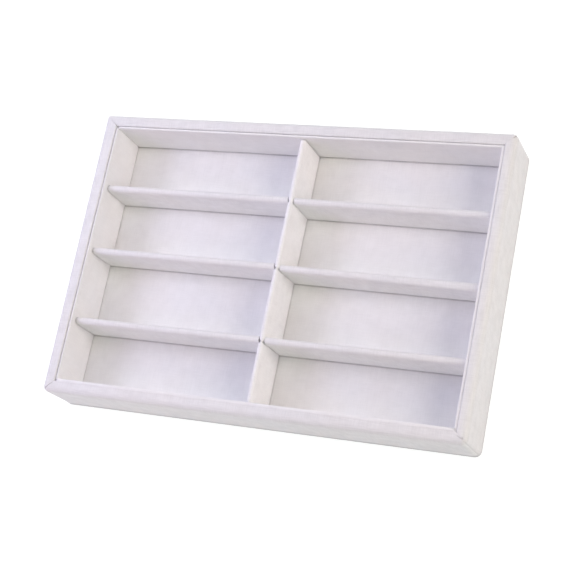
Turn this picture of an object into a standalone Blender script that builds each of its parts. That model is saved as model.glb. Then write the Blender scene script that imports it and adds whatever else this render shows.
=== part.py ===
"""Sunglasses organizer: an open tray of eight compartments, made of wrapped boards glued together.

Four mitred rails stand on a base board. Each has its own leatherette wrap, turned under the board and
down the inner face. A card liner with a turned cover stands inside the rails, one long centre divider
and six short cross dividers stand on the floor lining, and a bottom cover hides the turned edges.

Metres, +Z up. The long side runs along X, the near side is at -Y, and the underside lies at z = 0.
"""
import math

import bmesh
import bpy
from mathutils import Vector

MM = 0.001

# Wrapped outside of the tray
tray_length = 350 * MM
tray_depth = 239 * MM
tray_height = 45 * MM
corner_round = 4.4 * MM

# Rails, measured over their wraps
rim_width = 8.9 * MM
rim_outer_round = 4.5 * MM
rim_inner_round = 1.4 * MM
mitre_seam = 0.3 * MM
under_turn = 14 * MM
inner_turn_share = 0.6

# Sheets and boards
leatherette = 0.6 * MM
liner_sheet = 0.35 * MM
liner_card = 0.6 * MM
base_board = 2.0 * MM
floor_lining = 0.5 * MM
bottom_cover = 0.5 * MM
glue_line = 0.3 * MM
seat_gap = 0.3 * MM
bottom_cover_inset = 4.5 * MM

# Liner inside the rails
liner_gap = 0.4 * MM
liner_drop = 0.8 * MM
liner_flap_share = 0.2

# Dividers, measured over their wraps; a drop is how far a crest lies below the rim
centre_thickness = 4.5 * MM
centre_drop = 4.4 * MM
cross_thickness = 5.5 * MM
cross_drop = 5.7 * MM
divider_end_round = 1.2 * MM

# Where the dividers stand: shares of the free width and depth, rows from far to near
left_column_share = 0.504
row_depth_shares = {"left": (0.242, 0.247, 0.273, 0.238), "right": (0.246, 0.250, 0.266, 0.238)}
row_names = ("far", "middle", "near")

# A round stays within these shares of the wall that it is on, and is never sharper than least_round
outer_round_limit_share = 0.6
inner_round_limit_share = 0.35
end_round_limit_share = 0.9
least_round = 0.1 * MM

# Facets
corner_steps = 4
edge_steps = 5
crest_steps = 10
end_steps = 3
smooth_limit = math.radians(40)

# Colour and roughness of each material
finishes = {
    "white_leatherette": ((0.78, 0.77, 0.79), 0.5),
    "fibreboard": ((0.52, 0.38, 0.24), 0.85),
    "greyboard": ((0.36, 0.34, 0.31), 0.9),
    "bottom_paper": ((0.74, 0.73, 0.71), 0.8),
}

# Heights of the stack, from the underside up
wrap_foot = bottom_cover + glue_line
board_foot = wrap_foot + leatherette + glue_line
board_top = board_foot + base_board
lining_foot = board_top + glue_line
floor_height = lining_foot + floor_lining
stand_foot = floor_height + seat_gap

# Distances in from the outer faces
core_inset = leatherette + glue_line
rail_inner_face = rim_width - core_inset
lining_inset = rail_inner_face + seat_gap
liner_back = rim_width + liner_gap
card_back = liner_back + liner_sheet + glue_line
card_front = card_back + liner_card
liner_front = card_front + glue_line + liner_sheet

# The four sides, counter-clockwise: the lengths along and across, and the turn about Z that brings
# the near side there
sides = {
    "near": (tray_length, tray_depth),
    "right": (tray_depth, tray_length),
    "far": (tray_length, tray_depth),
    "left": (tray_depth, tray_length),
}
side_turns = {side: quarter * math.pi / 2 for quarter, side in enumerate(sides)}

RIGHT, LEFT = Vector((1, 0)), Vector((-1, 0))
UP, DOWN = Vector((0, 1)), Vector((0, -1))


def clear_scene():
    for thing in list(bpy.data.objects):
        bpy.data.objects.remove(thing, do_unlink=True)


def add_material(name):
    colour, roughness = finishes[name]
    material = bpy.data.materials.new(name)
    material.use_nodes = True
    shader = material.node_tree.nodes["Principled BSDF"]
    shader.inputs["Base Color"].default_value = (*colour, 1)
    shader.inputs["Roughness"].default_value = roughness
    shader.inputs["Metallic"].default_value = 0
    return material


def add_solid(name, points, faces, material, place=(0, 0, 0), turn=0):
    """One closed body with its faces turned outward, set down at its place"""
    shape = bmesh.new()
    corners = [shape.verts.new(point) for point in points]
    for face in faces:
        shape.faces.new([corners[index] for index in face])
    bmesh.ops.recalc_face_normals(shape, faces=shape.faces)
    mesh = bpy.data.meshes.new(name)
    shape.to_mesh(mesh)
    shape.free()
    mesh.shade_smooth()
    mesh.set_sharp_from_angle(angle=smooth_limit)
    mesh.materials.append(material)
    solid = bpy.data.objects.new(name, mesh)
    solid.location = place
    solid.rotation_euler.z = turn
    bpy.context.collection.objects.link(solid)


def skin_faces(rows, count, first=0):
    """Four-sided faces between neighbouring rows of `count` points, numbered row by row"""
    faces = []
    for row in range(rows - 1):
        for step in range(count - 1):
            near = first + row * count + step
            far = near + count
            faces.append((near, near + 1, far + 1, far))
    return faces


def loft(sections):
    """Points and faces of a solid through closed sections, with a flat cap on both ends"""
    rows, count = len(sections), len(sections[0])
    points = [point for section in sections for point in section]
    faces = skin_faces(rows, count)
    for start in range(0, len(points) - count, count):
        end = start + count - 1
        faces.append((end, start, start + count, end + count))
    faces.append(tuple(range(count)))
    faces.append(tuple(range(len(points) - count, len(points))))
    return points, faces


def shell(outer, inner, capped):
    """Points and faces of a sheet between two skins of open sections. Either its cut ends are left
    bare, or it is capped: the sheet closes over both ends, and is open only along its foot."""
    rows, count = len(outer), len(outer[0])
    to_inner = rows * count
    last = to_inner - count
    points = [point for section in outer + inner for point in section]
    faces = skin_faces(rows, count) + skin_faces(rows, count, to_inner)
    for start in range(0, last, count):
        for edge in (start, start + count - 1):
            faces.append((edge, edge + count, edge + count + to_inner, edge + to_inner))
    for start in (0, last):
        if capped:
            end = start + count - 1
            faces.append(tuple(range(start, end + 1)))
            faces.append(tuple(range(start + to_inner, end + 1 + to_inner)))
            faces.append((start, end, end + to_inner, start + to_inner))
        else:
            for near in range(start, start + count - 1):
                faces.append((near, near + 1, near + 1 + to_inner, near + to_inner))
    return points, faces


def arc(corner, before, after, radius):
    """Points of the round in a square corner, from the edge towards `before` to the one towards `after`"""
    centre = corner + radius * (before + after)
    angles = [math.pi / 2 * step / edge_steps for step in range(edge_steps + 1)]
    return [centre - radius * (math.cos(angle) * after + math.sin(angle) * before) for angle in angles]


def turned_path(start, bends, end, inset):
    """Section of a sheet from start to end through square bends, moved `inset` into what it covers"""
    path = [start + inset * bends[0][2]]
    for corner, before, after, radius in bends:
        moved = corner + inset * (before + after)
        path += arc(moved, before, after, max(radius - inset, least_round))
    path.append(end + inset * bends[-1][1])
    return path


def corner_point(inset, share):
    """Where a surface `inset` inside the outer faces passes a corner of the tray: how far back from
    the corner and how far in from the outer face, from the straight (share 0) to the mitre (1)"""
    half_seam = mitre_seam / 2
    seam_run = half_seam * math.sqrt(2)
    radius = corner_round - inset
    if radius > seam_run:
        angle = share * (math.acos(half_seam / radius) - math.pi / 4)
        return corner_round - radius * math.sin(angle), corner_round - radius * math.cos(angle)
    return inset + seam_run + (1 - share) * corner_round, inset


def mitred_sections(path, side_length):
    """A section path of (inset, height) points, repeated from mitre to mitre along one side"""
    shares = [step / corner_steps for step in range(corner_steps + 1)]
    stations = [(-1, share) for share in reversed(shares)] + [(1, share) for share in shares]
    sections = []
    for end, share in stations:
        section = []
        for inset, height in path:
            back, depth = corner_point(inset, share)
            section.append((end * (side_length / 2 - back), depth, height))
        sections.append(section)
    return sections


def side_place(side):
    """Middle of one side's outer face, and the turn about Z that faces the near side there"""
    _, across = sides[side]
    turn = side_turns[side]
    return (math.sin(turn) * across / 2, -math.cos(turn) * across / 2, 0), turn


def add_mitred_board(name, side, path, material):
    """A board along one side of the tray, mitred at both ends"""
    along, _ = sides[side]
    add_solid(name, *loft(mitred_sections(path, along)), material, *side_place(side))


def add_mitred_sheet(name, side, start, bends, end, thickness, material):
    """A sheet along one side of the tray, turned through square bends and mitred at both ends"""
    along, _ = sides[side]
    paths = [turned_path(start, bends, end, inset) for inset in (0, thickness)]
    outer, inner = (mitred_sections(path, along) for path in paths)
    add_solid(name, *shell(outer, inner, capped=False), material, *side_place(side))


def add_rail(side, board, sheet):
    """One rail's core and the wrap that runs from under the base board over the rim and down inside"""
    outer_round = min(rim_outer_round, outer_round_limit_share * rim_width)
    inner_round = min(rim_inner_round, inner_round_limit_share * rim_width)
    rim_bends = [
        (Vector((0, tray_height)), DOWN, RIGHT, outer_round),
        (Vector((rim_width, tray_height)), LEFT, DOWN, inner_round),
    ]
    start, end = Vector((0, lining_foot)), Vector((rim_width, lining_foot))
    add_mitred_board(f"rail_core_{side}", side, turned_path(start, rim_bends, end, core_inset), board)

    foot_bend = (Vector((0, wrap_foot)), RIGHT, UP, leatherette + glue_line)
    inner_turn = inner_turn_share * (tray_height - lining_foot)
    start, end = Vector((under_turn, wrap_foot)), Vector((rim_width, tray_height - inner_turn))
    add_mitred_sheet(f"rail_wrap_{side}", side, start, [foot_bend] + rim_bends, end, leatherette, sheet)


def add_liner(side, card, sheet):
    """One side of the liner: a card on the floor lining, and a cover turned over its top edge"""
    top = tray_height - liner_drop
    card_top = top - liner_sheet - glue_line
    path = [(card_back, stand_foot), (card_back, card_top), (card_front, card_top), (card_front, stand_foot)]
    add_mitred_board(f"liner_card_{side}", side, path, card)

    bends = [
        (Vector((liner_back, top)), DOWN, RIGHT, liner_sheet + glue_line),
        (Vector((liner_front, top)), LEFT, DOWN, liner_sheet + glue_line),
    ]
    flap = liner_flap_share * (top - stand_foot)
    start, end = Vector((liner_back, top - flap)), Vector((liner_front, stand_foot))
    add_mitred_sheet(f"liner_cover_{side}", side, start, bends, end, liner_sheet, sheet)


def plan_corner(inset):
    """Corner of a plate `inset` inside the outer faces, rounded where the tray's own round reaches it"""
    radius = corner_round - inset
    if radius < least_round:
        return [(inset, inset)]
    points = []
    for step in range(corner_steps + 1):
        angle = math.pi / 2 * step / corner_steps
        points.append((corner_round - radius * math.sin(angle), corner_round - radius * math.cos(angle)))
    return points


def add_plate(name, inset, foot, thickness, material):
    """A flat board or sheet that follows the outline of the tray"""
    outline = []
    for side, (along, across) in sides.items():
        cos, sin = math.cos(side_turns[side]), math.sin(side_turns[side])
        for back, depth in plan_corner(inset):
            x, y = along / 2 - back, depth - across / 2
            outline.append((x * cos - y * sin, x * sin + y * cos))
    sections = [[(x, y, height) for x, y in outline] for height in (0, thickness)]
    add_solid(name, *loft(sections), material, (0, 0, foot))


def blade_sections(length, thickness, height, inset):
    """Sections of a divider from end to end, each from foot over the round crest to foot, with the
    edges of both ends rounded and the whole surface moved `inset` inwards"""
    wall = thickness / 2 - inset
    end_round = min(max(divider_end_round - inset, least_round), end_round_limit_share * wall)
    half_length = length / 2 - inset
    ends = []
    for step in range(end_steps + 1):
        angle = math.pi / 2 * step / end_steps
        ends.append((half_length - end_round * (1 - math.sin(angle)), end_round * (1 - math.cos(angle))))
    stations = [(-along, tucked) for along, tucked in reversed(ends)] + ends
    sections = []
    for along, tucked in stations:
        crest_round = wall - tucked
        section = [(along, -crest_round, 0)]
        for step in range(crest_steps + 1):
            angle = math.pi * step / crest_steps
            rise = height - thickness / 2 + crest_round * math.sin(angle)
            section.append((along, -crest_round * math.cos(angle), rise))
        section.append((along, crest_round, 0))
        sections.append(section)
    return sections


def add_divider(name, length, thickness, height, place, turn, board, sheet):
    """A divider's core and the wrap over its crest, sides and ends, open at the foot"""
    insets = (core_inset, 0, leatherette)
    core, outer, inner = (blade_sections(length, thickness, height, inset) for inset in insets)
    add_solid(f"{name}_core", *loft(core), board, place, turn)
    add_solid(f"{name}_wrap", *shell(outer, inner, capped=True), sheet, place, turn)


def add_dividers(board, sheet):
    """The centre divider, which runs through, and three cross dividers on each side of it"""
    half_length = tray_length / 2 - liner_front
    half_depth = tray_depth / 2 - liner_front
    free_length = 2 * half_length - centre_thickness
    free_depth = 2 * half_depth - len(row_names) * cross_thickness
    centre_left = -half_length + left_column_share * free_length
    centre_right = centre_left + centre_thickness
    centre_height = tray_height - centre_drop - stand_foot
    cross_height = tray_height - cross_drop - stand_foot
    centre_place = ((centre_left + centre_right) / 2, 0, stand_foot)
    centre_length = 2 * (half_depth - seat_gap)
    add_divider("centre_divider", centre_length, centre_thickness, centre_height, centre_place, math.pi / 2,
                board, sheet)

    columns = {"left": (-half_length, centre_left), "right": (centre_right, half_length)}
    for column, (west, east) in columns.items():
        far_face = half_depth
        for row, share in zip(row_names, row_depth_shares[column]):
            far_face -= share * free_depth
            place = ((west + east) / 2, far_face - cross_thickness / 2, stand_foot)
            length = east - west - 2 * seat_gap
            add_divider(f"cross_divider_{column}_{row}", length, cross_thickness, cross_height, place, 0,
                        board, sheet)
            far_face -= cross_thickness


def main():
    clear_scene()
    white = add_material("white_leatherette")
    fibreboard = add_material("fibreboard")
    greyboard = add_material("greyboard")
    paper = add_material("bottom_paper")

    add_plate("bottom_cover", bottom_cover_inset, 0, bottom_cover, paper)
    add_plate("base_board", core_inset, board_foot, base_board, greyboard)
    add_plate("floor_lining", lining_inset, lining_foot, floor_lining, white)
    for side in sides:
        add_rail(side, fibreboard, white)
        add_liner(side, greyboard, white)
    add_dividers(greyboard, white)


main()
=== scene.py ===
"""Sunglasses organizer: the finish of an open tray of eight compartments, wrapped in white leatherette.

The rails' boards, the liner's cards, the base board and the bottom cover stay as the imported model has
them. The wraps, the liner covers and the floor lining are modelled again as fine sheets in the same
places, with pressed seams at the folded corners, pinched crossings, rounded feet and a linen grain. The
dividers lean a little, so the boards inside them are modelled again too. Metres, +Z up; the near side
is at -Y.
"""
import math

import bpy
import numpy as np
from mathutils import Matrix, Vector


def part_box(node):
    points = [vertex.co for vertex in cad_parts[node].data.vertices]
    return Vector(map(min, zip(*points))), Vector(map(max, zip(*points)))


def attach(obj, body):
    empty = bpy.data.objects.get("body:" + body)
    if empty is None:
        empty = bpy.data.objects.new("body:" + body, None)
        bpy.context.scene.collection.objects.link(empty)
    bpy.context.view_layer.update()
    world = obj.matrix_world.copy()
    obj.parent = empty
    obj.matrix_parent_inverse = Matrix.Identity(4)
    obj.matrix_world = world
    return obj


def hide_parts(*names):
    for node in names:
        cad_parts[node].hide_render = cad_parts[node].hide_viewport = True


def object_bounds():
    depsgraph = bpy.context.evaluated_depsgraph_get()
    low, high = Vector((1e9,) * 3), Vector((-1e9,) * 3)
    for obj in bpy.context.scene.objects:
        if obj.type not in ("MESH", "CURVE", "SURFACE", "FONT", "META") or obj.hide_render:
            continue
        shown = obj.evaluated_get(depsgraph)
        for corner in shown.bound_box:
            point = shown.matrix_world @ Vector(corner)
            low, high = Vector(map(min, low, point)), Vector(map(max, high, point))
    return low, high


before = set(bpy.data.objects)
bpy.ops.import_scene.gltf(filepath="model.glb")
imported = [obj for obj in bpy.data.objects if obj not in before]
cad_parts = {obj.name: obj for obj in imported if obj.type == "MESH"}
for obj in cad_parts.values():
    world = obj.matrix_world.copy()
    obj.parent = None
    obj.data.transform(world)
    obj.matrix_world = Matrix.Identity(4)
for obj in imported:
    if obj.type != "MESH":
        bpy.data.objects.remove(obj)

MM = 0.001
BODY = "root"


def mm(*values):
    """Sizes that are given in millimetres, in metres"""
    return tuple(value * MM for value in values)


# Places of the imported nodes
cad_low, cad_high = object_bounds()
wrap_low, wrap_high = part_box("rail_wrap_near")
rail_low, rail_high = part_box("rail_core_near")
cover_low, cover_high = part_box("liner_cover_near")
lining_low, lining_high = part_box("floor_lining")

# Outside of the tray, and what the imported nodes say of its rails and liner
tray_length, tray_depth, tray_height = cad_high - cad_low
wrap_foot = wrap_low.z
under_turn = wrap_high.y - wrap_low.y
core_inset = rail_low.y - wrap_low.y
rim_width = rail_high.y - wrap_low.y + core_inset
liner_back = cover_low.y - wrap_low.y
liner_front = cover_high.y - wrap_low.y
liner_top, liner_foot = cover_high.z, cover_low.z
liner_drop = tray_height - liner_top

# How far the wraps turn in down inside the rails, as a share of the rails' height, and how far the liner
# covers' flaps hang down behind the cards
inner_turn_share = 0.6
inner_turn_foot = rail_low.z + (1 - inner_turn_share) * (tray_height - rail_low.z)
liner_flap = 8 * MM

# Sheets, and the rounds of the tray's upright corners and of the rails. A pair says how far a round
# reaches before and after its corner
leatherette = 0.6 * MM
liner_sheet = 0.35 * MM
corner_rounds = {
    "near_left": 4.6 * MM, "near_right": 5.1 * MM,
    "far_right": 4.2 * MM, "far_left": 2.4 * MM,
}
rim_outer_rounds = {
    "near": mm(4.2, 4.6), "right": mm(4.6, 5.8),
    "far": mm(3.2, 3.2), "left": mm(3.6, 3.6),
}
rim_inner_rounds = {
    "near": mm(0.3, 0.3), "right": mm(1.2, 1.2),
    "far": mm(4.0, 1.2), "left": mm(1.5, 1.0),
}
rim_foot_round = 0.9 * MM

# Painted shade on each side's wrap: how much darker its outer face, its rim and its lower edge are, and
# how high the shade on that edge reaches. An edge's tone above 1 widens its darkest stretch
outer_face_tones = {"near": 0.15, "right": 0.42, "far": 0.0, "left": 0.0}
rim_top_tones = {"near": 0.0, "right": 0.0, "far": 0.06, "left": 0.02}
rim_foot_tones = {"near": 1.8, "right": 1.2, "far": 0.5, "left": 0.5}
foot_shade_height = 9 * MM

# How far the sides stand out: the left one at its near and far ends, the far one all along, and, only at
# their feet where the wrap is folded, the near one at its left and right ends and the right one at its
# near and far ends
left_swells = mm(0.5, 2.0)
far_swell = 0.4 * MM
near_foot_swells = mm(0.35, 0.0)
right_foot_swells = mm(0.7, 0.05)
foot_swell_height = 12 * MM

# Dividers: how far inside the outside the two skins of a wrap and the board lie, the rounds of ends and
# feet, never sharper than the least ones, and what share of the half-thickness a foot's round may take
divider_insets = (0, leatherette, core_inset)
divider_end_round = 0.25 * MM
divider_foot_round = 1.1 * MM
least_end_round = 0.1 * MM
least_foot_round = 0.05 * MM
foot_curl_share = 0.8

# Painted shade at a divider's ends where they meet the liner: how much darker, over what length, and over
# what length near the crests of each column's dividers, which fades in over this height up to this depth
divider_end_tone = 0.55
divider_end_reach = 1.1 * MM
crest_end_reaches = {"left": 3.0 * MM, "right": 1.1 * MM}
crest_end_depth = 4 * MM
crest_end_fade = 3 * MM

# Painted shade on the cross dividers' crests: how much darker, from what depth and fading over what
# height
cross_crest_tone = 0.2
crest_tone_depth = 2 * MM
crest_tone_fade = 1 * MM

# Waviness of the glued sheets, how far one divider's is shifted from the next one's, and how it settles
# towards a divider's ends and feet
wave_height = 0.04 * MM
wave_length = 26 * MM
seed_shift = 7 * MM
settled_end = 2 * MM
settled_end_fade = 6 * MM
settled_foot_fade = 4 * MM

# How each side's liner cover sits: its back moved towards the rim, its top raised, its rounds, what share
# of the turned-in foot its round takes, and how much painted shade darkens its top edge
cover_shifts = {"near": 0.37 * MM, "right": 0.34 * MM, "far": 0.0, "left": 0.0}
cover_rises = {"near": 0.6 * MM, "right": 0.0, "far": -0.1 * MM, "left": 0.1 * MM}
cover_back_rounds = {"near": 0.2 * MM, "right": 0.25 * MM, "far": 0.5 * MM, "left": 0.7 * MM}
cover_front_rounds = {
    "near": mm(0.65, 0.65), "right": mm(1.1, 1.0),
    "far": mm(0.8, 3.0), "left": mm(0.9, 2.6),
}
cover_foot_rounds = {"near": 0.4 * MM, "right": 0.4 * MM, "far": 0.8 * MM, "left": 0.25 * MM}
foot_round_share = 0.9
cover_top_tones = {"near": 0.1, "right": 0.2, "far": 0.05, "left": 0.25}

# Mitre seams: half the cut, depth and half-width of the pressed groove, height, place and width of its
# lips, and how far it fades in and out as a share of the rim
seam_cut = 0.03 * MM
groove_depth = 0.42 * MM
groove_width = 0.7 * MM
lip_height = 0.16 * MM
lip_place = 1.1 * MM
lip_width = 0.45 * MM
seam_fade = 0.12

# Each corner's seam: where it shows on the rim, as shares of the way from the outer to the inner face,
# how strongly there, elsewhere on the rim and down the upright corner, and how strong the notch in the
# liner and the dark dot at its foot are. Seams and notches are pressed in and darkened with painted
# shade as strongly as their shares say; the dot is painted shade alone. Then how strong the liner's own
# seams are, how the upright ones fade at their feet, and the reach and depth of the notches
rim_seam_shares = {
    "near_left": (0.0, 0.8, 0.6),
    "near_right": (0.9, 1.0, 0.1),
    "far_right": (0.0, 0.3, 0.12),
    "far_left": (0.75, 1.0, 0.35),
}
faint_seam_shares = {"near_left": 0.1, "near_right": 0.04, "far_right": 0.04, "far_left": 0.08}
upright_seam_shares = {"near_left": 0.4, "near_right": 0.22, "far_right": 0.25, "far_left": 0.4}
notch_shares = {"near_left": 1.0, "near_right": 0.35, "far_right": 0.3, "far_left": 0.9}
foot_dot_shares = {"near_left": 0.3, "near_right": 0.3, "far_right": 0.3, "far_left": 1.0}
liner_seam_share = 0.06
upright_seam_fade = 1 * MM
notch_reach = 1.8 * MM
notch_depth = 1.5 * MM

# The pinched fold across the near right corner's mitre: its two ends, each as how far it lies from the
# mitre (along the near side, or less than zero along the right one) and how far from the outer face, its
# depth and half-width, and how dark the painted shade in it is
fold_ends = (mm(1.8, 5.7), mm(-0.9, 3.4))
fold_depth = 0.28 * MM
fold_width = 0.7 * MM
fold_tone = 0.7

# The pressed groove in the floor lining along the near faces' feet: how deep and wide it is and how dark
# its painted shade is, how strong along the feet of the faces that look to the right, and how far it runs
# on under a foot
floor_groove_depth = 0.25 * MM
floor_groove_width = 1.2 * MM
floor_groove_tone = 0.52
side_foot_shares = {"liner_cover_left": 0.15, "centre_divider_wrap": 0.5}
foot_overlap = 0.6 * MM

# Crossings: how far the centre divider is drawn in, over what length, how deep the pocket is and how it
# fades, how far its crest dips, and what share of its half-thickness is left at least
pinch_depth = 1.35 * MM
pinch_reach = 2.0 * MM
pocket_depth = 6 * MM
pocket_fade_share = 0.6
crest_dip = 0.12 * MM
least_wall_share = 0.12

# The cross dividers' ends at the crossings: over what share of the pocket's depth they take shape, how
# far their mouths are dished, how near the end and over what share of the wall, and how far their lips
# flare, how far from the end and over what length
end_fade_share = 0.5
mouth_dish = 0.2 * MM
mouth_reach = 1.05 * leatherette
mouth_rim_share = 0.5
lip_flare = 0.25 * MM
lip_flare_place = 0.6 * MM
lip_reach = 1.2 * MM

# How far the pinches lie nearer than the cross dividers' middles, how strong each one is, and how far the
# cross dividers' noses reach into them
pinch_shift = 1.5 * MM
pinch_shares = {
    ("left", "far"): 0.55, ("left", "middle"): 0.9, ("left", "near"): 1.0,
    ("right", "far"): 0.4, ("right", "middle"): 1.0, ("right", "near"): 1.25,
}
end_noses = {"left": -0.1 * MM, "right": 0.4 * MM}

# How far each cross divider stands off its packed place towards the far side: its foot and its crest,
# each at the centre divider and at the liner
foot_places = {
    ("left", "far"): mm(0.1, 0.1), ("left", "middle"): mm(0.4, 0.8), ("left", "near"): mm(0.5, 0.2),
    ("right", "far"): mm(0.4, -0.3), ("right", "middle"): mm(1.0, 0.0), ("right", "near"): mm(0.2, 0.3),
}
crest_places = {
    ("left", "far"): mm(0.4, 0.2), ("left", "middle"): mm(-0.2, 0.2), ("left", "near"): mm(0.5, 0.5),
    ("right", "far"): mm(0.7, 0.2), ("right", "middle"): mm(0.3, -1.0), ("right", "near"): mm(0.2, 0.2),
}

# How full the near side of a cross divider is at the liner, and how far down
near_fullness = {("right", "middle"): 1.2 * MM}
fullness_reach = 20 * MM

# Spacing of the mesh: along a side from its mitre, across and along the sheets and towards a divider's
# ends, the half-thickness left at the very end, and the steps in a pinch, an arc and an end face
run_steps = np.concatenate([np.arange(0, 0.8, 0.1), np.arange(0.8, 3.4, 0.2), [3.7, 4.1, 4.7, 5.5]]) * MM
sheet_step = 4 * MM
face_step = 1 * MM
rim_step = 0.5 * MM
floor_groove_step = 0.16 * MM
divider_step = 3 * MM
divider_end_steps = np.array([0.4, 0.9, 1.5, 2.2]) * MM
least_divider_step = 0.12 * MM
least_end_wall = 0.02 * MM
pinch_steps = 16
arc_steps = 8
foot_arc_steps = 4
end_face_steps = 5
smooth_limit = math.radians(40)

# Leatherette: spacing and length of its threads, size and relief of its pores, size of its mottling and
# of its drifts of tint, and the tint of the painted shade laid on its seams, grooves and shaded places
thread_pitch = 0.5 * MM
thread_run = 9 * MM
pore_size = 0.16 * MM
pore_relief = 0.02 * MM
mottle_size = 24 * MM
tint_size = 40 * MM
shade_tint = (0.53, 0.51, 0.53)

# Boards: width of a fibre as a share of its length, relief of the fibres and size of the specks
fibre_width_share = 0.3
fibre_relief = 0.08 * MM
speck_size = 0.5 * MM

# The pale floor under the tray: how far it runs and lies below, in metres, and its glow
floor_reach = 4.0
floor_drop = 0.2 * MM
floor_glow = (0.83, 0.85, 0.83)

# Softboxes: azimuth and elevation in degrees, distance in metres, power in watts and colour, and their
# width as a share of their distance
softboxes = {
    "softbox_right_low": (0, 15, 1.3, 4.9, (1.0, 0.93, 0.93)),
    "softbox_right": (0, 40, 1.3, 5.8, (1.0, 0.91, 0.83)),
    "softbox_far_low": (90, 15, 1.3, 2.45, (1.0, 0.97, 1.0)),
    "softbox_far_left": (135, 40, 1.3, 3.45, (0.99, 0.95, 1.0)),
    "softbox_far_left_high": (135, 65, 0.7, 0.85, (0.9, 0.87, 1.0)),
    "softbox_left": (180, 40, 1.3, 5.5, (0.73, 0.76, 1.0)),
    "softbox_near_left_low": (225, 15, 1.3, 2.25, (1.0, 0.78, 0.99)),
    "softbox_near_left": (225, 40, 1.3, 2.1, (0.88, 0.62, 1.0)),
    "softbox_near": (270, 40, 1.3, 2.35, (0.96, 1.0, 0.79)),
}
softbox_share = 0.46
room_light = 0.1

# The photograph's view, from the right and the near side and steeply down: lens and sensor in
# millimetres, place in metres and turn in degrees
camera_lens = 93.408
camera_sensor = 36
camera_place = (0.4525, -0.3092, 1.0538)
camera_turn = (19.402, 20.000, 11.956)

# The four sides in turn: along, across, and the corners at the two ends
SIDES = {
    "near": (tray_length, tray_depth, "near_left", "near_right"),
    "right": (tray_depth, tray_length, "near_right", "far_right"),
    "far": (tray_length, tray_depth, "far_right", "far_left"),
    "left": (tray_depth, tray_length, "far_left", "near_left"),
}
QUARTERS = {side: quarter for quarter, side in enumerate(SIDES)}


# Small helpers for grids of points

def unit(vectors):
    return vectors / np.maximum(np.linalg.norm(vectors, axis=-1, keepdims=True), 1e-12)


def normals(grid):
    """Outward normals of a grid whose rows run along a piece and whose columns run round it"""
    return unit(np.cross(np.gradient(grid, axis=0), np.gradient(grid, axis=1)))


def swell(distance, reach):
    """A smooth hill of height 1 that ends at `reach` on both sides"""
    share = np.clip(np.abs(distance) / reach, 0, 1)
    return (1 - share ** 2) ** 2


def ease(value):
    share = np.clip(value, 0, 1)
    return share * share * (3 - 2 * share)


def wave(points, seed):
    """Slow unevenness of a sheet that was glued down by hand, from -1 to 1"""
    x, y, z = np.moveaxis(points / wave_length * 2 * math.pi, -1, 0)
    total = np.sin(x + 0.7 * y + seed) + np.sin(1.3 * y - 0.6 * z + 2.1 * seed)
    total += np.sin(0.8 * z + 1.9 * x - 1.7 * seed) + np.sin(2.3 * (y - x) + 0.9 * z + 3.3 * seed)
    return total / 4


def mesh_piece(name, points, faces, material, replaced, painted_shade=None):
    """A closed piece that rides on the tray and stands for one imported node"""
    mesh = bpy.data.meshes.new(name)
    mesh.from_pydata(points.tolist(), [], faces)
    mesh.validate()
    mesh.shade_smooth()
    mesh.set_sharp_from_angle(angle=smooth_limit)
    mesh.materials.append(material)
    # The attribute carries painted shade, which darkens the colour where it is set
    if painted_shade is not None:
        layer = mesh.attributes.new("painted_shade", "FLOAT", "POINT")
        layer.data.foreach_set("value", painted_shade.astype(np.float32).ravel())
    piece = bpy.data.objects.new(name, mesh)
    bpy.context.collection.objects.link(piece)
    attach(piece, BODY)
    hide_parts(replaced)
    return piece


def sheet_piece(name, outer, inner, faces, tone, material, slot, replaced):
    """A closed sheet from its outer and inner skins' points, its outer skin darker by the tone, which is
    painted shade
    """
    points = np.concatenate([outer.reshape(-1, 3), inner.reshape(-1, 3)])
    painted_shade = np.concatenate([tone.ravel(), np.zeros(tone.size)])
    return mesh_piece(name, points, faces, material, replaced, painted_shade)


def skin(index):
    """Faces of one skin of a sheet, from its grid of point numbers"""
    quads = np.stack([index[:-1, :-1], index[1:, :-1], index[1:, 1:], index[:-1, 1:]], axis=-1)
    return quads.reshape(-1, 4).tolist()


def edge_faces(outer, inner):
    """Faces that close a sheet's edge between a line on its outer skin and one on its inner skin"""
    return np.stack([outer[1:], outer[:-1], inner[:-1], inner[1:]], axis=-1).tolist()


def sheet_faces(rows, columns):
    """Faces of a sheet that is closed along all four edges"""
    outer = np.arange(rows * columns).reshape(rows, columns)
    inner = outer + rows * columns
    faces = skin(outer) + skin(inner[:, ::-1])
    faces += edge_faces(outer[:, 0], inner[:, 0]) + edge_faces(outer[::-1, -1], inner[::-1, -1])
    faces += edge_faces(outer[0, ::-1], inner[0, ::-1]) + edge_faces(outer[-1], inner[-1])
    return faces


def cap_faces(line):
    """Faces that close the end of a folded skin, between the two halves of its last line"""
    count = len(line)
    faces = []
    for step in range(count // 2):
        face = (line[step], line[step + 1], line[count - 2 - step], line[count - 1 - step])
        faces.append(list(dict.fromkeys(int(point) for point in face)))
    return [face for face in faces if len(face) > 2]


def sleeve_faces(rows, columns):
    """Faces of a sheet folded over a card and closed at both ends, open only along its foot"""
    outer = np.arange(rows * columns).reshape(rows, columns)
    inner = outer + rows * columns
    faces = skin(outer) + skin(inner[:, ::-1])
    faces += edge_faces(outer[:, 0], inner[:, 0]) + edge_faces(outer[::-1, -1], inner[::-1, -1])
    faces += cap_faces(outer[0, ::-1]) + cap_faces(outer[-1])
    faces += cap_faces(inner[0]) + cap_faces(inner[-1, ::-1])
    for row, first, last in ((0, 0, -1), (-1, -1, 0)):
        faces.append([int(point) for point in
                      (outer[row, first], outer[row, last], inner[row, last], inner[row, first])])
    return faces


# Sheets along the four sides

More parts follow.
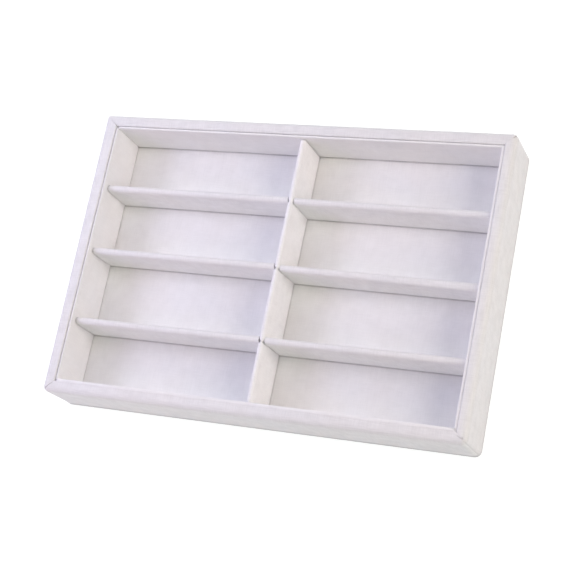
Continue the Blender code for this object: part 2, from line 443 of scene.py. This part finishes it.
def rounded_path(corners, rounds, steps):
    """Section line through square corners, each an arc with a radius or with one before and one after
    the corner, and with its straight stretches divided"""
    corners = [np.array(corner, float) for corner in corners]
    line = [corners[0]]
    for before, corner, after, radii, step in zip(corners, corners[1:], corners[2:], rounds, steps):
        down, over = np.broadcast_to(radii, 2)
        back, ahead = down * unit(before - corner), over * unit(after - corner)
        extend(line, corner + back, step)
        for angle in np.linspace(0, math.pi / 2, arc_steps + 1)[1:]:
            line.append(corner + (1 - math.cos(angle)) * ahead + (1 - math.sin(angle)) * back)
    extend(line, corners[-1], steps[-1])
    return np.array(line)


def extend(line, goal, step):
    """Adds evenly spaced points up to the goal"""
    start = line[-1]
    count = max(1, math.ceil(np.linalg.norm(goal - start) / step))
    line += [start + (goal - start) * share for share in np.linspace(0, 1, count + 1)[1:]]


def corner_place(inset, run, corner_round):
    """Where a surface `inset` inside the outer faces lies, `run` along it from the mitre: how far back
    from the tray's corner and how far in from its outer face"""
    radius = np.maximum(corner_round - inset, 1e-9)
    turned = np.minimum(run / radius, math.pi / 4)
    centre = np.maximum(corner_round, inset)
    angle = math.pi / 4 - turned
    back = centre - radius * np.sin(angle) + run - radius * turned
    return back, centre - radius * np.cos(angle)


def side_grid(side, path):
    """A section line repeated from mitre to mitre along one side of the tray. Gives the points, and the
    run of each line from the mitre nearest to it, negative at the first end. Away from the ends the run
    is only given as beyond every seam's reach"""
    along, across, first, last = SIDES[side]
    inset, height = path[:, 0], path[:, 1]
    runs = run_steps + seam_cut
    ends = [corner_place(inset, runs[:, None], corner_rounds[corner]) for corner in (first, last)]
    start, stop = ends[0][0] - along / 2, along / 2 - ends[1][0]
    middle = round(along / sheet_step)
    shares = np.linspace(0, 1, middle + 1)[1:-1, None]
    position = np.concatenate([start, start[-1] + shares * (stop[-1] - start[-1]), stop[::-1]])
    straight = np.broadcast_to(inset, (middle - 1, len(inset)))
    inward = np.concatenate([ends[0][1], straight, ends[1][1][::-1]])
    run = np.concatenate([-runs, np.where(shares[:, 0] < 0.5, -2, 2) * runs[-1], runs[::-1]])
    local = np.stack([position, inward - across / 2, np.broadcast_to(height, position.shape)], axis=-1)
    return turn(local, QUARTERS[side]), run


def turn(points, quarter):
    """Points turned about Z by quarter turns"""
    cos, sin = round(math.cos(quarter * math.pi / 2)), round(math.sin(quarter * math.pi / 2))
    x, y, z = np.moveaxis(points, -1, 0)
    return np.stack([x * cos - y * sin, x * sin + y * cos, z], axis=-1)


def seam_profile(run):
    """Depth of the pressed groove and height of the lip beside it, at a distance from the mitre"""
    away = np.abs(run) - seam_cut
    groove = swell(away, groove_width)
    lip = np.exp(-((away - lip_place) / lip_width) ** 2)
    return groove, lip


def rim_seam_strength(path, outer_round, corner):
    """How strongly a seam shows at each point of a rail's section line"""
    inset, height = path[:, 0], path[:, 1]
    first, last, strength = rim_seam_shares[corner]
    faint = faint_seam_shares[corner]
    share = np.clip(inset / rim_width, 0, 1)
    window = ease((share - first) / seam_fade + 1) * ease((last - share) / seam_fade + 1)
    on_top = ease((height - (tray_height - outer_round)) / outer_round)
    upright = upright_seam_shares[corner] * ease((height - wrap_foot) / upright_seam_fade)
    upright *= inset < rim_width / 2
    return np.maximum(on_top * (faint + (strength - faint) * window), (1 - on_top) * upright)


def stood_out(grid):
    """A grid of points pushed out where the sides stand out, more the nearer the outer faces"""
    x, y, z = np.moveaxis(grid, -1, 0)
    left, right = (ease(1 - (tray_length / 2 + sign * x) / rim_width) for sign in (1, -1))
    near, far = (ease(1 - (tray_depth / 2 + sign * y) / rim_width) for sign in (1, -1))
    foot = ease((wrap_foot + foot_swell_height - z) / foot_swell_height)
    x_ends, y_ends = ((-size / 2, size / 2) for size in (tray_length, tray_depth))
    moved = grid.copy()
    moved[..., 0] += right * foot * np.interp(y, y_ends, right_foot_swells)
    moved[..., 0] -= left * np.interp(y, y_ends, left_swells)
    moved[..., 1] += far * far_swell - near * foot * np.interp(x, x_ends, near_foot_swells)
    return moved


def fold_dent(run, path, outer_round, part):
    """Depth of the pinched fold on the rim, from 0 to 1, on the near side's part of it or the right's"""
    point = np.stack(np.broadcast_arrays(run[:, None], path[None, :, 0]), axis=-1)
    start, end = (np.array(place) for place in fold_ends)
    share = np.clip(((point - start) @ (end - start)) / ((end - start) @ (end - start)), 0, 1)
    away = np.linalg.norm(point - start - share[..., None] * (end - start), axis=-1)
    return swell(away, fold_width) * (path[:, 1] > tray_height - outer_round) * (run * part > 0)[:, None]


def rail_tone(side, path, groove):
    """How much painted shade darkens a rail's wrap: in its seams, on its outer face and rim, and along
    its foot"""
    inset, height = path[:, 0], path[:, 1]
    outside = inset < rim_width / 2
    outer_face_shade = outer_face_tones[side] * outside * ease((tray_height - height) / rim_outer_rounds[side][0])
    low = np.clip(1 - (height - wrap_foot) / foot_shade_height, 0, 1) ** 2
    foot_shade = np.minimum(rim_foot_tones[side] * low, 1) * outside
    return np.maximum(groove, np.maximum(np.maximum(outer_face_shade, foot_shade), rim_top_tones[side]))


def add_rail_wrap(side, material):
    """The wrap of one rail: from under the base board up the outer face, over the rim and down inside"""
    corners = [(under_turn, wrap_foot), (0, wrap_foot), (0, tray_height), (rim_width, tray_height),
               (rim_width, inner_turn_foot)]
    outer_round = rim_outer_rounds[side][0]
    path = rounded_path(corners, [rim_foot_round, rim_outer_rounds[side], rim_inner_rounds[side]],
                        [sheet_step, face_step, rim_step, sheet_step])
    grid, run = side_grid(side, path)
    grid = stood_out(grid)
    out = normals(grid)
    groove, lip = seam_profile(run)
    first, last = (rim_seam_strength(path, outer_round, corner) for corner in SIDES[side][2:])
    strength = np.where(run[:, None] < 0, first, last)
    # The seam's groove is darkened with painted shade as strongly as it is pressed
    groove = groove[:, None] * strength
    rise = lip_height * lip[:, None] * strength - groove_depth * groove
    rise += wave_height * wave(grid, QUARTERS[side] + 1) * (1 - groove)
    if side in ("near", "right"):
        dent = fold_dent(run, path, outer_round, 1 if side == "near" else -1)
        rise -= fold_depth * dent
        # The fold is darkened with painted shade
        groove = np.maximum(groove, fold_tone * dent)
    piece = sheet_piece(f"rim_leatherette_{side}", grid + rise[..., None] * out, grid - leatherette * out,
                        sheet_faces(*grid.shape[:2]), rail_tone(side, path, groove), material,
                        "leatherette", f"rail_wrap_{side}")


def corner_marks(side, run, shares):
    """How strong a mark near the liner's corners is along a side, from the share of it at each corner"""
    first, last = (shares[corner] for corner in SIDES[side][2:])
    return (np.where(run < 0, first, last) * swell(run, notch_reach))[:, None]


def add_liner_cover(side, material):
    """The cover of one liner card: a flap behind it, over its top edge and down its front"""
    back, top = liner_back - cover_shifts[side], liner_top + cover_rises[side]
    rounds = [values[side] for values in (cover_back_rounds, cover_front_rounds, cover_foot_rounds)]
    foot_turn = cover_foot_rounds[side] / foot_round_share
    corners = [(back, top - liner_flap), (back, top), (liner_front, top), (liner_front, liner_foot),
               (liner_front - foot_turn, liner_foot)]
    path = rounded_path(corners, rounds, [sheet_step] * 4)
    grid, run = side_grid(side, path)
    out = normals(grid)
    groove, lip = seam_profile(run)
    groove = liner_seam_share * groove[:, None] * np.ones(len(path))
    front = ease((path[:, 0] - back) / (liner_front - back))
    rise = liner_seam_share * lip_height * lip[:, None] * front - liner_sheet * groove
    rise += wave_height * wave(grid, QUARTERS[side] + 5) * (1 - groove)
    outer, inner = grid + rise[..., None] * out, grid - liner_sheet * out
    height = path[:, 1]
    notch = corner_marks(side, run, notch_shares) * (1 - front) * (height > top - liner_drop)
    for points in (outer, inner):
        points[..., 2] -= notch_depth * notch
    top_edge = cover_top_tones[side] * (1 - front) * ease((height - top + 2 * liner_drop) / liner_drop)
    dot = corner_marks(side, run, foot_dot_shares) * swell(height - liner_foot, 2 * notch_reach) * front
    # The seams, the notches, the top edge and the dot at the corners' feet are darkened with painted
    # shade
    tone = np.maximum(np.maximum(groove, top_edge), np.maximum(notch, dot))
    piece = sheet_piece(f"liner_leatherette_{side}", outer, inner, sheet_faces(*grid.shape[:2]), tone,
                        material, "lining_leatherette", f"liner_cover_{side}")


def front_feet():
    """The lines on the floor that the near faces of the far liner and the cross dividers meet, each as
    the x and the y of its two ends, from left to right"""
    low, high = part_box("liner_cover_far")
    feet = [((low.x, high.x), (low.y, low.y))]
    for (column, row), places in foot_places.items():
        low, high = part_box(f"cross_divider_{column}_{row}_wrap")
        places = places[::-1] if column == "left" else places
        feet.append(((low.x, high.x), tuple(low.y + place for place in places)))
    return feet


def side_feet():
    """Where the faces that look to the right meet the floor: place along X and the groove's strength"""
    return [(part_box(node)[1].x, share) for node, share in side_foot_shares.items()]


def floor_lines(low, high, stretches):
    """Grid lines from low to high at the sheet's step, with finer ones over the given stretches"""
    lines = list(np.linspace(low, high, math.ceil((high - low) / sheet_step) + 1))
    for first, last in stretches:
        fine = np.linspace(first, last, math.ceil((last - first) / floor_groove_step) + 1)
        lines = [line for line in lines if line < first or line > last] + list(fine)
    return np.array(sorted(lines))


def add_floor_lining(material):
    """The lining of the floor, glued to the base board, slightly uneven and pressed down where the near
    faces meet it, and darkened there with painted shade"""
    feet = front_feet()
    x = floor_lines(lining_low.x, lining_high.x,
                    [(place - foot_overlap, place + floor_groove_width) for place, _ in side_feet()])
    y = floor_lines(lining_low.y, lining_high.y,
                    [(min(ends) - floor_groove_width, max(ends) + foot_overlap) for _, ends in feet])
    counts = [len(x), len(y)]
    grid = np.stack([*np.meshgrid(x, y, indexing="ij"), np.full(counts, lining_high.z)], axis=-1)
    groove = np.zeros(counts)
    for (start, stop), ends in feet:
        between = (x > start - foot_overlap) & (x < stop + foot_overlap)
        place = np.interp(x, (start, stop), ends)[:, None]
        groove = np.maximum(groove, between[:, None] * swell(y - place, floor_groove_width))
    for place, share in side_feet():
        groove = np.maximum(groove, share * swell(x - place, floor_groove_width)[:, None])
    outer, inner = grid.copy(), grid.copy()
    outer[..., 2] += wave_height * (wave(grid, 9) - 1) - floor_groove_depth * groove
    inner[..., 2] = lining_low.z
    tone = floor_groove_tone * groove
    piece = sheet_piece("floor_leatherette", outer, inner, sheet_faces(*counts), tone, material,
                        "lining_leatherette", "floor_lining")


# Dividers

def divider_stations(half_length, half_thickness, inset, fine_places):
    """Places along a divider's skin and its half-thickness there, closing to almost nothing at both
    ends. The count is the same for every skin of a divider"""
    straight = half_length - divider_end_round
    even = np.linspace(-straight, straight, max(2, round(2 * straight / divider_step)) + 1)
    fine = [place + np.linspace(-pinch_reach, pinch_reach, pinch_steps + 1) for place in fine_places]
    near_end = straight - divider_end_steps
    places = np.unique(np.concatenate([even, *fine, near_end, -near_end]))
    kept = [places[0]]
    for place in places[1:]:
        if place - kept[-1] > least_divider_step:
            kept.append(place)
    kept[-1] = places[-1]
    end_round = max(divider_end_round - inset, least_end_round)
    half_length -= inset
    kept = np.array(kept) * (half_length - end_round) / straight
    turned = np.linspace(0, math.pi / 2, arc_steps + 1)[1:]
    end_places = half_length - end_round * (1 - np.sin(turned))
    end_walls = half_thickness - end_round * (1 - np.cos(turned))
    face = np.linspace(1, 0, end_face_steps + 1)[1:]
    end_places = np.concatenate([end_places, np.full(len(face), half_length)])
    end_walls = np.concatenate([end_walls, np.maximum(face * end_walls[-1], least_end_wall)])
    along = np.concatenate([-end_places[::-1], kept, end_places])
    wall = np.concatenate([end_walls[::-1], np.full(len(kept), half_thickness), end_walls])
    return along, wall


def divider_grid(size, inset, fine_places):
    """Sections of a divider, from foot over crest to foot, `inset` inside its outside. Rows run along
    it"""
    length, thickness, height = size
    half_thickness = thickness / 2 - inset
    along, wall = divider_stations(length / 2, half_thickness, inset, fine_places)
    foot_round = max(divider_foot_round - inset, least_foot_round)
    crest_foot = height - thickness / 2
    side_steps = math.ceil((crest_foot - foot_round) / sheet_step)
    grid = []
    for place, reach in zip(along, wall):
        curl = min(foot_round, foot_curl_share * reach)
        foot = [(reach - curl * (1 - math.sin(a)), foot_round * (1 - math.cos(a)))
                for a in np.linspace(0, math.pi / 2, foot_arc_steps + 1)]
        face = [(reach, foot_round + (crest_foot - foot_round) * step / side_steps)
                for step in range(1, side_steps)]
        crest = [(reach * math.cos(a), crest_foot + reach * math.sin(a))
                 for a in np.linspace(0, math.pi / 2, arc_steps + 1)]
        half = foot + face + crest
        section = [(-out, up) for out, up in half] + [(out, up) for out, up in half[-2::-1]]
        grid.append([(place, out, up) for out, up in section])
    return np.array(grid)


def glued(grid, size, seed):
    """A divider's outer skin with the unevenness of a glued sheet, which settles towards its ends and
    feet"""
    to_end = size[0] / 2 - np.abs(grid[..., 0])
    settled = ease((to_end - settled_end) / settled_end_fade) * ease(grid[..., 2] / settled_foot_fade)
    rise = wave_height * wave(grid + seed * seed_shift, seed) * settled
    return grid + rise[..., None] * normals(grid)


def end_tone(grid, size, crest_reach):
    """How much painted shade darkens a divider towards its two ends, with another reach near its crest"""
    to_end = size[0] / 2 - np.abs(grid[..., 0])
    near_crest = ease((grid[..., 2] - size[2] + crest_end_depth) / crest_end_fade)
    reach = divider_end_reach + (crest_reach - divider_end_reach) * near_crest
    return divider_end_tone * ease(1 - to_end / reach)


def place_divider(grid, node, quarter):
    """Turns a divider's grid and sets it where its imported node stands"""
    low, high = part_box(node)
    middle = (low + high) / 2
    return turn(grid, quarter) + np.array([middle.x, middle.y, low.z])


def add_divider_wrap(name, node, outer, inner, quarter, tone, material):
    """One divider's wrap, from its two skins and the painted shade of the outer one"""
    placed = [place_divider(grid, node, quarter) for grid in (outer, inner)]
    faces = sleeve_faces(*outer.shape[:2])
    piece = sheet_piece(name, *placed, faces, tone, material, "leatherette", node)


def add_card(name, grid, node, quarter, replaced, material):
    """The board inside a divider, from its grid of points"""
    rows, columns = grid.shape[:2]
    index = np.arange(rows * columns).reshape(rows, columns)
    closed = np.concatenate([index, index[:, :1]], axis=1)
    faces = skin(closed) + cap_faces(index[0, ::-1]) + cap_faces(index[-1])
    points = place_divider(grid, node, quarter).reshape(-1, 3)
    mesh_piece(name, points, faces, material, replaced)


def open_ended(grid, size, column, share):
    """A cross divider's grid with its inner end shaped as strongly as the share says: it reaches into
    the pinch, its mouth is dished and its lips flare"""
    length, thickness, height = size
    inner_end = 1 if column == "left" else -1
    along, out, up = np.moveaxis(grid, -1, 0)
    to_end = length / 2 - inner_end * along
    above = np.maximum(up - (height - thickness / 2), 0)
    radius = np.maximum(np.hypot(out, above), 1e-6)
    near_top = ease((up - (height - pocket_depth)) / (end_fade_share * pocket_depth))
    flare = lip_flare * share * np.exp(-((to_end - lip_flare_place) / lip_reach) ** 2) * near_top
    open_face = np.clip(1 - np.abs(out) / (thickness / 2 - divider_end_round), 0, 1)
    dish = mouth_dish * share * ease(open_face / mouth_rim_share) * near_top * (to_end < mouth_reach)
    nose = end_noses[column] * share * near_top ** 2 * swell(to_end, 2 * pinch_reach)
    nose = nose * swell(out, thickness / 2)
    moved = grid.copy()
    moved[..., 0] += inner_end * (nose - dish)
    moved[..., 1] += flare * out / radius
    moved[..., 2] += flare * above / radius
    return moved


def standing(grid, size, column, row):
    """A cross divider's grid as it stands: foot and crest off their packed places, the near side full"""
    length, thickness, height = size
    along, out, up = np.moveaxis(grid, -1, 0)
    share = np.clip(0.5 + (-1 if column == "left" else 1) * along / length, 0, 1)
    foot, crest = (start + share * (stop - start)
                   for start, stop in (foot_places[column, row], crest_places[column, row]))
    near_face = np.clip(-2 * out / thickness, 0, 1)
    full = near_fullness.get((column, row), 0) * share * near_face * swell(height - up, fullness_reach)
    moved = grid.copy()
    moved[..., 1] += foot + (crest - foot) * up / height - full
    return moved


def add_cross_divider(column, row, seed, material, card_material):
    """A short divider's wrap and board. Its inner end butts against the centre divider with an open
    mouth"""
    node = f"cross_divider_{column}_{row}_wrap"
    low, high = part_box(node)
    size = high - low
    grids = [divider_grid(size, inset, []) for inset in divider_insets]
    grids[:2] = [open_ended(grid, size, column, pinch_shares[column, row]) for grid in grids[:2]]
    outer, inner, card = (standing(grid, size, column, row) for grid in grids)
    outer = glued(outer, size, seed)
    at_liner = outer[..., 0] < 0 if column == "left" else outer[..., 0] > 0
    # The crest and the end at the liner are darkened with painted shade
    crest = cross_crest_tone * ease((outer[..., 2] - size.z + crest_tone_depth) / crest_tone_fade)
    tone = np.maximum(end_tone(outer, size, crest_end_reaches[column]) * at_liner, crest)
    add_divider_wrap(f"cross_leatherette_{column}_{row}", node, outer, inner, 0, tone, material)
    add_card(f"cross_card_{column}_{row}", card, node, 0, node.replace("_wrap", "_core"), card_material)


def centre_pinches():
    """Where each cross divider meets the centre divider: (side of it, place along it, strength)"""
    low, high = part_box("centre_divider_wrap")
    middle = (low.y + high.y) / 2
    meets = []
    for (column, row), share in pinch_shares.items():
        low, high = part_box(f"cross_divider_{column}_{row}_wrap")
        place = (low.y + high.y) / 2 - middle - pinch_shift + crest_places[column, row][0]
        meets.append((1 if column == "left" else -1, place, share))
    return meets


def pinched(grid, size, meets):
    """A centre divider's grid with its upper part drawn in at the crossings, and its crest dipping"""
    thickness, height = size[1:]
    along, out, up = np.moveaxis(grid, -1, 0)
    near_top = ease((up - (height - pocket_depth)) / (pocket_fade_share * pocket_depth))
    moved = grid.copy()
    for side, place, share in meets:
        near = share * swell(along - place, pinch_reach) * near_top
        scale = np.maximum(1 - pinch_depth * near / (thickness / 2), least_wall_share)
        moved[..., 1] *= np.where(out * side > 0, scale, 1)
        moved[..., 2] -= crest_dip * near
    return moved


def add_centre_divider(seed, material, card_material):
    """The long divider's wrap and board, pinched between the cross dividers"""
    node = "centre_divider_wrap"
    low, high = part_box(node)
    thickness, length, height = high - low
    size = (length, thickness, height)
    meets = centre_pinches()
    places = [place for _, place, _ in meets]
    grids = [divider_grid(size, inset, places) for inset in divider_insets]
    outer, inner, card = (pinched(grid, size, meets) for grid in grids)
    outer = glued(outer, size, seed)
    tone = end_tone(outer, size, divider_end_reach)
    add_divider_wrap("centre_leatherette", node, outer, inner, 1, tone, material)
    add_card("centre_card", card, node, 1, "centre_divider_core", card_material)


# Materials

class Nodes:
    """A material's node tree, with short calls to add nodes and join them"""

    def __init__(self, name):
        self.material = bpy.data.materials.new(name)
        self.material.use_nodes = True
        self.tree = self.material.node_tree
        self.shader = self.tree.nodes["Principled BSDF"]
        self.place = self.add("ShaderNodeTexCoord").outputs["Object"]

    def add(self, kind, **settings):
        node = self.tree.nodes.new(kind)
        for name, value in settings.items():
            setattr(node, name, value)
        return node

    def join(self, source, target):
        self.tree.links.new(source, target)

    def math(self, operation, first, second):
        node = self.add("ShaderNodeMath", operation=operation)
        for socket, value in zip(node.inputs, (first, second)):
            if isinstance(value, (int, float)):
                socket.default_value = value
            else:
                self.join(value, socket)
        return node.outputs[0]

    def noise(self, sizes, detail=2.0, roughness=0.5, shift=0.0):
        """Noise whose features have these sizes along X, Y and Z"""
        mapping = self.add("ShaderNodeMapping")
        mapping.inputs["Scale"].default_value = [1 / size for size in sizes]
        mapping.inputs["Location"].default_value = (shift, shift, shift)
        self.join(self.place, mapping.inputs["Vector"])
        noise = self.add("ShaderNodeTexNoise")
        noise.inputs["Scale"].default_value = 1
        noise.inputs["Detail"].default_value = detail
        noise.inputs["Roughness"].default_value = roughness
        self.join(mapping.outputs[0], noise.inputs["Vector"])
        return noise.outputs["Fac"]

    def ramp(self, value, stops):
        ramp = self.add("ShaderNodeValToRGB")
        for element, (place, colour) in zip(ramp.color_ramp.elements, stops):
            element.position = place
            element.color = (*colour, 1)
        self.join(value, ramp.inputs["Fac"])
        return ramp.outputs["Color"]

    def mix(self, share, first, second, blend="MIX"):
        mix = self.add("ShaderNodeMix", data_type="RGBA", blend_type=blend)
        for socket, value in ((mix.inputs[0], share), (mix.inputs[6], first), (mix.inputs[7], second)):
            if isinstance(value, tuple):
                socket.default_value = (*value, 1)
            elif isinstance(value, (int, float)):
                socket.default_value = value
            else:
                self.join(value, socket)
        return mix.outputs[2]

    def bump(self, height, distance, strength=1.0, under=None):
        bump = self.add("ShaderNodeBump")
        bump.inputs["Distance"].default_value = distance
        bump.inputs["Strength"].default_value = strength
        self.join(height, bump.inputs["Height"])
        if under is not None:
            self.join(under, bump.inputs["Normal"])
        return bump.outputs[0]


def leatherette_material(name, colour, relief, contrast):
    """White leatherette with a linen grain: threads of uneven thickness along two directions on every
    face, fine pores, a soft mottling, and painted shade from a mesh attribute in its seams, grooves and
    notches, along its feet and on its shaded faces"""
    nodes = Nodes(name)
    threads = None
    for axis in range(3):
        sizes = [thread_run] * 3
        sizes[axis] = thread_pitch
        thread = nodes.noise(sizes, detail=2.5, shift=axis * 3.7)
        threads = thread if threads is None else nodes.math("ADD", threads, thread)
    threads = nodes.math("MULTIPLY", threads, 1 / 3)
    pores = nodes.noise([pore_size] * 3, detail=1.0)
    mottle = nodes.noise([mottle_size] * 3, detail=2.0, shift=1.3)
    tint = nodes.noise([tint_size] * 3, detail=1.0, shift=8.1)

    pale = tuple(min(1.0, (1 + 0.4 * contrast) * value) for value in colour)
    deep = tuple((1 - contrast) * value for value in colour)
    base = nodes.ramp(threads, [(0.38, deep), (0.6, pale)])
    cloud = nodes.ramp(mottle, [(0.3, (0.985, 0.985, 0.985)), (0.7, (1.0, 1.0, 1.0))])
    base = nodes.mix(1.0, base, cloud, "MULTIPLY")
    warm = nodes.ramp(tint, [(0.35, (1.0, 0.99, 0.985)), (0.65, (0.99, 0.992, 1.0))])
    base = nodes.mix(1.0, base, warm, "MULTIPLY")
    # Painted shade: each mesh's attribute darkens the colour towards the shade tint in seams, grooves,
    # notches, along feet and on shaded faces
    painted_shade = nodes.add("ShaderNodeAttribute", attribute_name="painted_shade").outputs["Fac"]
    shaded_base = nodes.mix(1.0, base, shade_tint, "MULTIPLY")
    base = nodes.mix(painted_shade, base, shaded_base)
    nodes.join(base, nodes.shader.inputs["Base Color"])

    rough = nodes.ramp(threads, [(0.35, (0.62,) * 3), (0.65, (0.5,) * 3)])
    nodes.join(rough, nodes.shader.inputs["Roughness"])
    fine = nodes.bump(pores, pore_relief)
    nodes.join(nodes.bump(threads, relief, under=fine), nodes.shader.inputs["Normal"])
    nodes.shader.inputs["Specular IOR Level"].default_value = 0.35
    return nodes.material


def board_material(name, colour, speckle, grain, roughness):
    """Raw board: short fibres and specks in a dull ground"""
    nodes = Nodes(name)
    width = fibre_width_share * grain
    fibres = nodes.noise([grain, width, width], detail=4.0, roughness=0.65)
    specks = nodes.noise([speck_size] * 3, detail=1.0, shift=4.4)
    dark = tuple(0.72 * value for value in colour)
    light = tuple(min(1.0, 1.18 * value) for value in colour)
    base = nodes.ramp(fibres, [(0.3, dark), (0.7, light)])
    dots = nodes.ramp(specks, [(0.3, speckle), (0.42, (1.0, 1.0, 1.0))])
    nodes.join(nodes.mix(1.0, base, dots, "MULTIPLY"), nodes.shader.inputs["Base Color"])
    nodes.join(nodes.bump(fibres, fibre_relief), nodes.shader.inputs["Normal"])
    nodes.shader.inputs["Roughness"].default_value = roughness
    nodes.shader.inputs["Specular IOR Level"].default_value = 0.2
    return nodes.material


def dress_packed_nodes(materials):
    """Gives the boards, cards and bottom cover that stay in view their materials"""
    for node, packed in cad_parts.items():
        if packed.hide_render:
            continue
        if node.startswith("rail_core"):
            chosen = materials["fibreboard"]
        elif node == "bottom_cover":
            chosen = materials["paper"]
        else:
            chosen = materials["greyboard"]
        packed.data.materials.clear()
        packed.data.materials.append(chosen)


# Floor, light and camera

def add_floor():
    """A plain pale floor that runs out of every view"""
    mesh = bpy.data.meshes.new("studio_floor")
    corners = [(x * floor_reach, y * floor_reach, -floor_drop)
               for x, y in ((-1, -1), (1, -1), (1, 1), (-1, 1))]
    mesh.from_pydata(corners, [], [(0, 1, 2, 3)])
    floor = bpy.data.objects.new("studio_floor", mesh)
    bpy.context.collection.objects.link(floor)
    nodes = Nodes("studio_floor")
    nodes.shader.inputs["Base Color"].default_value = (0.3, 0.3, 0.3, 1)
    nodes.shader.inputs["Emission Color"].default_value = (*floor_glow, 1)
    nodes.shader.inputs["Emission Strength"].default_value = 1
    nodes.shader.inputs["Roughness"].default_value = 0.9
    nodes.shader.inputs["Specular IOR Level"].default_value = 0.0
    mesh.materials.append(nodes.material)


def add_softbox(name, azimuth, elevation, distance, power, colour):
    """A round softbox aimed at the middle of the tray, as wide as suits its distance"""
    light = bpy.data.lights.new(name, "AREA")
    light.shape = "DISK"
    light.size = softbox_share * distance
    light.energy = power
    light.color = colour
    lamp = bpy.data.objects.new(name, light)
    bpy.context.collection.objects.link(lamp)
    turned, raised = math.radians(azimuth), math.radians(elevation)
    level = math.cos(raised)
    away = Vector((math.cos(turned) * level, math.sin(turned) * level, math.sin(raised)))
    lamp.location = (cad_low + cad_high) / 2 + distance * away
    lamp.rotation_mode = "QUATERNION"
    lamp.rotation_quaternion = away.to_track_quat("Z", "Y")


def add_light():
    world = bpy.data.worlds.new("pale_room")
    world.use_nodes = True
    ground = world.node_tree.nodes["Background"]
    ground.inputs["Color"].default_value = (1, 1, 1, 1)
    ground.inputs["Strength"].default_value = room_light
    bpy.context.scene.world = world
    for name, settings in softboxes.items():
        add_softbox(name, *settings)


def add_camera():
    lens = bpy.data.cameras.new("camera")
    lens.lens = camera_lens
    lens.sensor_width = camera_sensor
    lens.clip_start = 50 * MM
    camera = bpy.data.objects.new("camera", lens)
    camera.location = camera_place
    camera.rotation_euler = [math.radians(angle) for angle in camera_turn]
    bpy.context.collection.objects.link(camera)
    bpy.context.scene.camera = camera
    bpy.context.scene.view_settings.view_transform = "Standard"


def main():
    # The rims, dividers and lining are one white leatherette; the dividers' and lining's colour is set
    # lighter than the rims' as painted light, for the light bounced about inside the compartments
    rims = leatherette_material("rim_leatherette", (0.79, 0.79, 0.79), relief=0.09 * MM, contrast=0.08)
    dividers = leatherette_material("divider_leatherette", (0.88, 0.88, 0.88), relief=0.08 * MM,
                                    contrast=0.07)
    lining = leatherette_material("lining_leatherette", (0.88, 0.88, 0.88), relief=0.035 * MM,
                                  contrast=0.045)
    materials = {
        "fibreboard": board_material("raw_fibreboard", (0.52, 0.38, 0.24), speckle=(0.7, 0.6, 0.5),
                                     grain=1.5 * MM, roughness=0.85),
        "greyboard": board_material("raw_greyboard", (0.36, 0.34, 0.31), speckle=(0.5, 0.5, 0.6),
                                    grain=1.2 * MM, roughness=0.9),
        "paper": board_material("cover_paper", (0.74, 0.73, 0.71), speckle=(0.93, 0.92, 0.9),
                                grain=3 * MM, roughness=0.8),
    }
    add_camera()
    add_light()
    add_floor()
    for side in SIDES:
        add_rail_wrap(side, rims)
        add_liner_cover(side, lining)
    add_floor_lining(lining)
    add_centre_divider(len(pinch_shares) + 1, dividers, materials["greyboard"])
    for seed, (column, row) in enumerate(pinch_shares, 1):
        add_cross_divider(column, row, seed, dividers, materials["greyboard"])
    dress_packed_nodes(materials)


main()
